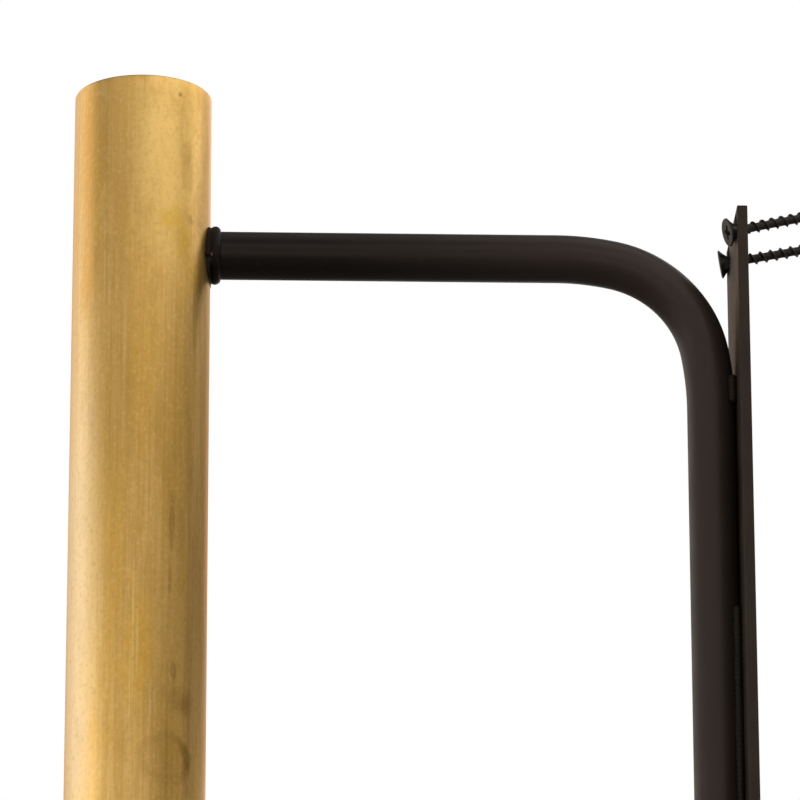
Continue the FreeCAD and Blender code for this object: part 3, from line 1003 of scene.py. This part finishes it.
# Banks of soft panels round the middle of the view: azimuths from the camera's side (positive to its
# right) and elevations in degrees, radiance and colour. Each bank stands a little further out than the
# one before it, as panels in one plane would take light from each other
LIGHT_TARGET = Vector((GRIP_X / 2, 0, 0.14))
BANK_DISTANCE = 0.9
BANK_GAP = 0.015
PANEL_ANGLE = 30
WHITE = (1.0, 1.0, 1.0)
COOL = (0.35, 0.64, 1.1)
CREAM = (1.0, 0.94, 0.86)
WARM = (1.0, 0.67, 0.46)
BANKS = (
    ("left_far", (-120, -90), (-14, 12), 0.44, COOL),
    ("left_low", (-90, -60), (-14, 12), 0.72, WHITE),
    ("left_middle", (-120, -60), (12, 24), 0.26, COOL),
    ("left_front", (-120, 0), (-1, 37), 0.17, WHITE),
    ("front_low", (-90, 30), (-14, 12), 0.59, WHITE),
    ("front_high", (-60, 60), (25, 37), 0.62, WHITE),
    ("right_high", (0, 120), (25, 50), 0.70, WHITE),
    ("right_low", (60, 180), (-14, 11), 0.50, WHITE),
    ("back_right", (90, 180), (25, 50), 0.62, WHITE),
    ("back_middle", (150, 210), (-1, 37), 0.57, WARM),
    ("back_left", (210, 270), (-1, 37), 0.72, CREAM),
)
# Single square panels: place, what they face, size and radiance
SINGLE_PANELS = (
    ("over_arm", (0.10, -0.10, 0.60), (-0.03, 0.0, 0.20), 0.3, 0.55),
    ("under_arm", (0.15, -0.35, -0.05), (-0.03, 0.0, 0.20), 0.3, 0.32),
    ("overhead", (-0.09, 0.0, 1.05), (-0.09, 0.0, 0.14), 0.65, 0.30),
)


def make_soft_light(name, place, target, width, tall, radiance, colour):
    """Rectangular soft light that faces a target and that the camera doesn't see."""
    data = bpy.data.lights.new(name, "AREA")
    data.shape = "RECTANGLE"
    data.size = width
    data.size_y = tall
    data.energy = radiance * math.pi * width * tall
    data.color = colour
    light = bpy.data.objects.new(name, data)
    light.location = place
    light.rotation_euler = (target - place).to_track_quat("-Z", "Y").to_euler()
    light.visible_camera = False
    bpy.context.scene.collection.objects.link(light)


def make_bank(distance, name, azimuths, elevations, radiance, colour):
    """Row of panels side by side over a range of azimuths."""
    count = round((azimuths[1] - azimuths[0]) / PANEL_ANGLE)
    rise = math.radians(sum(elevations) / 2)
    tall = 2 * distance * math.tan(math.radians(elevations[1] - elevations[0]) / 2)
    width = 2 * distance * math.tan(math.radians(PANEL_ANGLE) / 2) * math.cos(rise)
    for i in range(count):
        turn = math.radians(azimuths[0] + PANEL_ANGLE * (i + 0.5))
        away = Vector((math.sin(turn) * math.cos(rise), -math.cos(turn) * math.cos(rise), math.sin(rise)))
        place = LIGHT_TARGET + distance * away
        make_soft_light(f"{name}_{i}", place, LIGHT_TARGET, width, tall, radiance, colour)


def make_single_panel(name, place, target, size, radiance):
    """Square white panel."""
    make_soft_light(name, Vector(place), Vector(target), size, size, radiance, WHITE)


def make_camera():
    """Camera whose place and angles were fitted to the photo's edges."""
    data = bpy.data.cameras.new("camera")
    data.lens = CAMERA_LENS
    data.sensor_width = CAMERA_SENSOR
    data.clip_start, data.clip_end = CAMERA_CLIP
    camera = bpy.data.objects.new("camera", data)
    turn = Matrix.Rotation(math.radians(-CAMERA_YAW), 4, "Z")
    tilt = Matrix.Rotation(math.radians(90 + CAMERA_PITCH), 4, "X")
    roll = Matrix.Rotation(math.radians(CAMERA_ROLL), 4, "Z")
    place = Matrix.Translation((GRIP_X + CAMERA_FROM_GRIP_X, CAMERA_Y, ARM_Z - CAMERA_BELOW_ARM))
    camera.matrix_world = place @ turn @ tilt @ roll
    bpy.context.scene.collection.objects.link(camera)
    bpy.context.scene.camera = camera


# ---------------------------------------------------------------- the model

# Name of each half, its sign along Z, and the name of its cap
HALVES = (("upper", 1, "top"), ("lower", -1, "bottom"))
# Screws: node, turn of the recess in degrees, and where the thread starts, in turns
SCREWS = (
    ("screw_upper_near", 33.0, 0.62),
    ("screw_upper_far", 10.0, 0.27),
    ("screw_lower_near", 71.0, 0.35),
    ("screw_lower_far", 52.0, 0.70),
)


def paint_node(name, material):
    """Puts a material in every slot of a CAD node that is shown as it is."""
    for slot in frame["nodes"][name].material_slots:
        slot.material = material


def make_object():
    """Every piece of the handle, in new skins or on its CAD node."""
    brass = brass_material()
    turned_brass = cap_material()
    # Painted shade on the tube near the grip, and painted light at its upright
    black_tube = paint_material("black_tube", GRIP_X + 2 * GRIP_RADIUS, TUBE_X)
    black_strip = paint_material("black_strip")
    black_collar = paint_material("black_collar")
    black_weld = paint_material("black_weld")
    black_screw = paint_material("black_screw")
    steel = steel_material()
    bronze = pin_material()
    make_grip(brass)
    make_bracket(black_tube)
    for half, side, cap in HALVES:
        make_cap(cap, side, turned_brass)
        make_collar(half, side, black_collar)
        make_pin(half, side, bronze)
        for hidden in ("saddle_nut", "arm_spigot"):
            paint_node(f"{hidden}_{half}", steel)
    for place in ("upper", "middle", "lower"):
        for side in ("near", "far"):
            make_weld(f"weld_{place}_{side}", black_weld)
    for node, recess_turn, start_turn in SCREWS:
        make_screw(node, recess_turn, start_turn, black_screw)
    paint_node("mounting_strip", black_strip)


make_object()
make_floor()
make_world(camera_level=1.0, light_level=0.14)
for order, bank in enumerate(BANKS):
    make_bank(BANK_DISTANCE + BANK_GAP * order, *bank)
for panel in SINGLE_PANELS:
    make_single_panel(*panel)
make_camera()
bpy.context.scene.view_settings.view_transform = "Standard"
